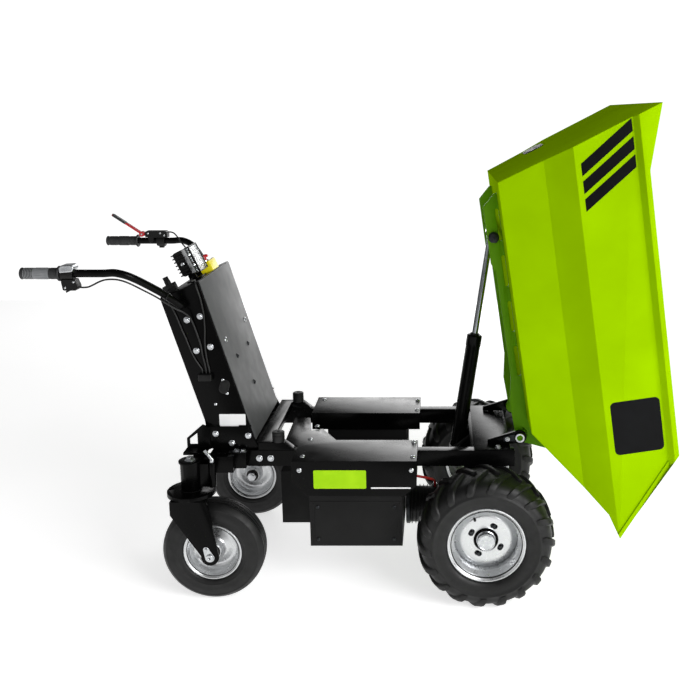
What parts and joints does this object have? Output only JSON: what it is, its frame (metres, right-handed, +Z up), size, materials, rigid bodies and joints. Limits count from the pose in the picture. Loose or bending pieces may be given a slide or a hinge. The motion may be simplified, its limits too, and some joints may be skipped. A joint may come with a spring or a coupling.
{
  "type": "walk-behind electric site dumper",
  "caption": "Walk-behind battery mini dumper: steel frame on two lugged drive wheels and two swivel casters, control tower with handlebars, and a forward-tipping sheet-metal tub, shown tipped.",
  "frame": {"origin": "on the floor, under the middle of the bounding box", "axes": "+X forward, the way the tub tips; +Y to the machine's left; +Z up"},
  "size_m": [1.8342, 0.781, 1.4501],
  "materials": {
    "frame_black": "gloss black powder coat",
    "rubber": "matt black rubber",
    "case_black": "matt black",
    "black_plastic": "fine grained black plastic",
    "silver_rim": "silver wheel lacquer",
    "tower_grey": "satin dark grey powder coat",
    "lens": "clear lens over a silver reflector",
    "safety_yellow": "safety yellow plastic",
    "safety_red": "red lacquer",
    "grip_rubber": "soft dark grey rubber",
    "cable_black": "black cable sheath",
    "cable_red": "red cable sheath",
    "lime_paint": "gloss powder coat, lime green",
    "chrome": "hard chrome"
  },
  "bodies": {
    "chassis": {"rail_left": "frame_black", "rail_right": "frame_black", "rear_beam": "frame_black", "rear_cross_tube": "frame_black", "rubber_buffer_left": "rubber", "rubber_buffer_right": "rubber", "front_deck": "frame_black", "hinge_bracket_left": "frame_black", "hinge_bracket_right": "frame_black", "cylinder_bracket": "frame_black", "side_cover_left": "frame_black", "side_cover_right": "frame_black", "battery_case": "case_black", "drive_axle": "black_plastic", "caster_housing_left": "frame_black", "lock_pin_left": "silver_rim", "caster_housing_right": "frame_black", "lock_pin_right": "silver_rim", "tower_shell": "frame_black", "tower_front_plate": "tower_grey", "tower_base": "frame_black", "work_light_housing": "black_plastic", "work_light_lens": "lens", "emergency_stop_box": "safety_yellow", "emergency_stop_button": "safety_red", "key_switch": "black_plastic", "handlebar_left": "frame_black", "grip_left": "grip_rubber", "handlebar_right": "frame_black", "grip_right": "grip_rubber", "throttle": "black_plastic", "brake_housing": "black_plastic", "brake_lever": "safety_red", "cable_entry_right": "black_plastic", "cable_entry_left": "black_plastic", "throttle_cable": "cable_black", "brake_cable": "cable_black", "light_cable": "cable_black", "switch_cable": "cable_black", "motor_cable": "cable_red"},
    "tub": {"tub": "lime_paint", "underframe_left": "lime_paint", "underframe_right": "lime_paint"},
    "cylinder_barrel_body": {"cylinder_barrel": "frame_black"},
    "cylinder_rod_body": {"cylinder_rod": "chrome"},
    "drive_wheel_left": {"drive_tyre_left": "rubber", "drive_rim_left": "silver_rim", "drive_hub_left": "frame_black"},
    "drive_wheel_right": {"drive_tyre_right": "rubber", "drive_rim_right": "silver_rim", "drive_hub_right": "frame_black"},
    "caster_left": {"caster_fork_left": "frame_black"},
    "caster_right": {"caster_fork_right": "frame_black"},
    "caster_wheel_left": {"caster_tyre_left": "rubber", "caster_rim_left": "silver_rim"},
    "caster_wheel_right": {"caster_tyre_right": "rubber", "caster_rim_right": "silver_rim"}
  },
  "joints": [
    {"name": "tub_tip", "type": "hinge", "parent": "chassis", "child": "tub", "pos_m": [0.48349, 0, 0.45], "axis": [0, 1, 0], "range_deg": [-81.5, 0]},
    {"name": "cylinder_swing", "type": "hinge", "parent": "chassis", "child": "cylinder_barrel_body", "pos_m": [0.29349, 0, 0.35], "axis": [0, 1, 0], "range_deg": [-85, 0]},
    {"name": "rod_slide", "type": "slide", "parent": "cylinder_barrel_body", "child": "cylinder_rod_body", "axis": [0.1453, 0, 0.9894], "range_m": [-0.281, 0]},
    {"name": "drive_wheel_left_spin", "type": "hinge", "parent": "chassis", "child": "drive_wheel_left", "pos_m": [0.37349, 0.308, 0.203], "axis": [0, 1, 0], "continuous": true},
    {"name": "drive_wheel_right_spin", "type": "hinge", "parent": "chassis", "child": "drive_wheel_right", "pos_m": [0.37349, -0.308, 0.203], "axis": [0, 1, 0], "continuous": true},
    {"name": "caster_left_swivel", "type": "hinge", "parent": "chassis", "child": "caster_left", "pos_m": [-0.49339, 0.28, 0], "axis": [0, 0, 1], "continuous": true},
    {"name": "caster_right_swivel", "type": "hinge", "parent": "chassis", "child": "caster_right", "pos_m": [-0.49339, -0.28, 0], "axis": [0, 0, 1], "continuous": true},
    {"name": "caster_wheel_left_spin", "type": "hinge", "parent": "caster_left", "child": "caster_wheel_left", "pos_m": [-0.43139, 0.28, 0.151], "axis": [0, 1, 0], "continuous": true},
    {"name": "caster_wheel_right_spin", "type": "hinge", "parent": "caster_right", "child": "caster_wheel_right", "pos_m": [-0.43139, -0.28, 0.151], "axis": [0, 1, 0], "continuous": true}
  ],
  "couplings": [
    {"joint": "cylinder_swing", "follows": "tub_tip", "ratio": 1.0361},
    {"joint": "rod_slide", "follows": "tub_tip", "m_per_rad": 0.19601}
  ]
}
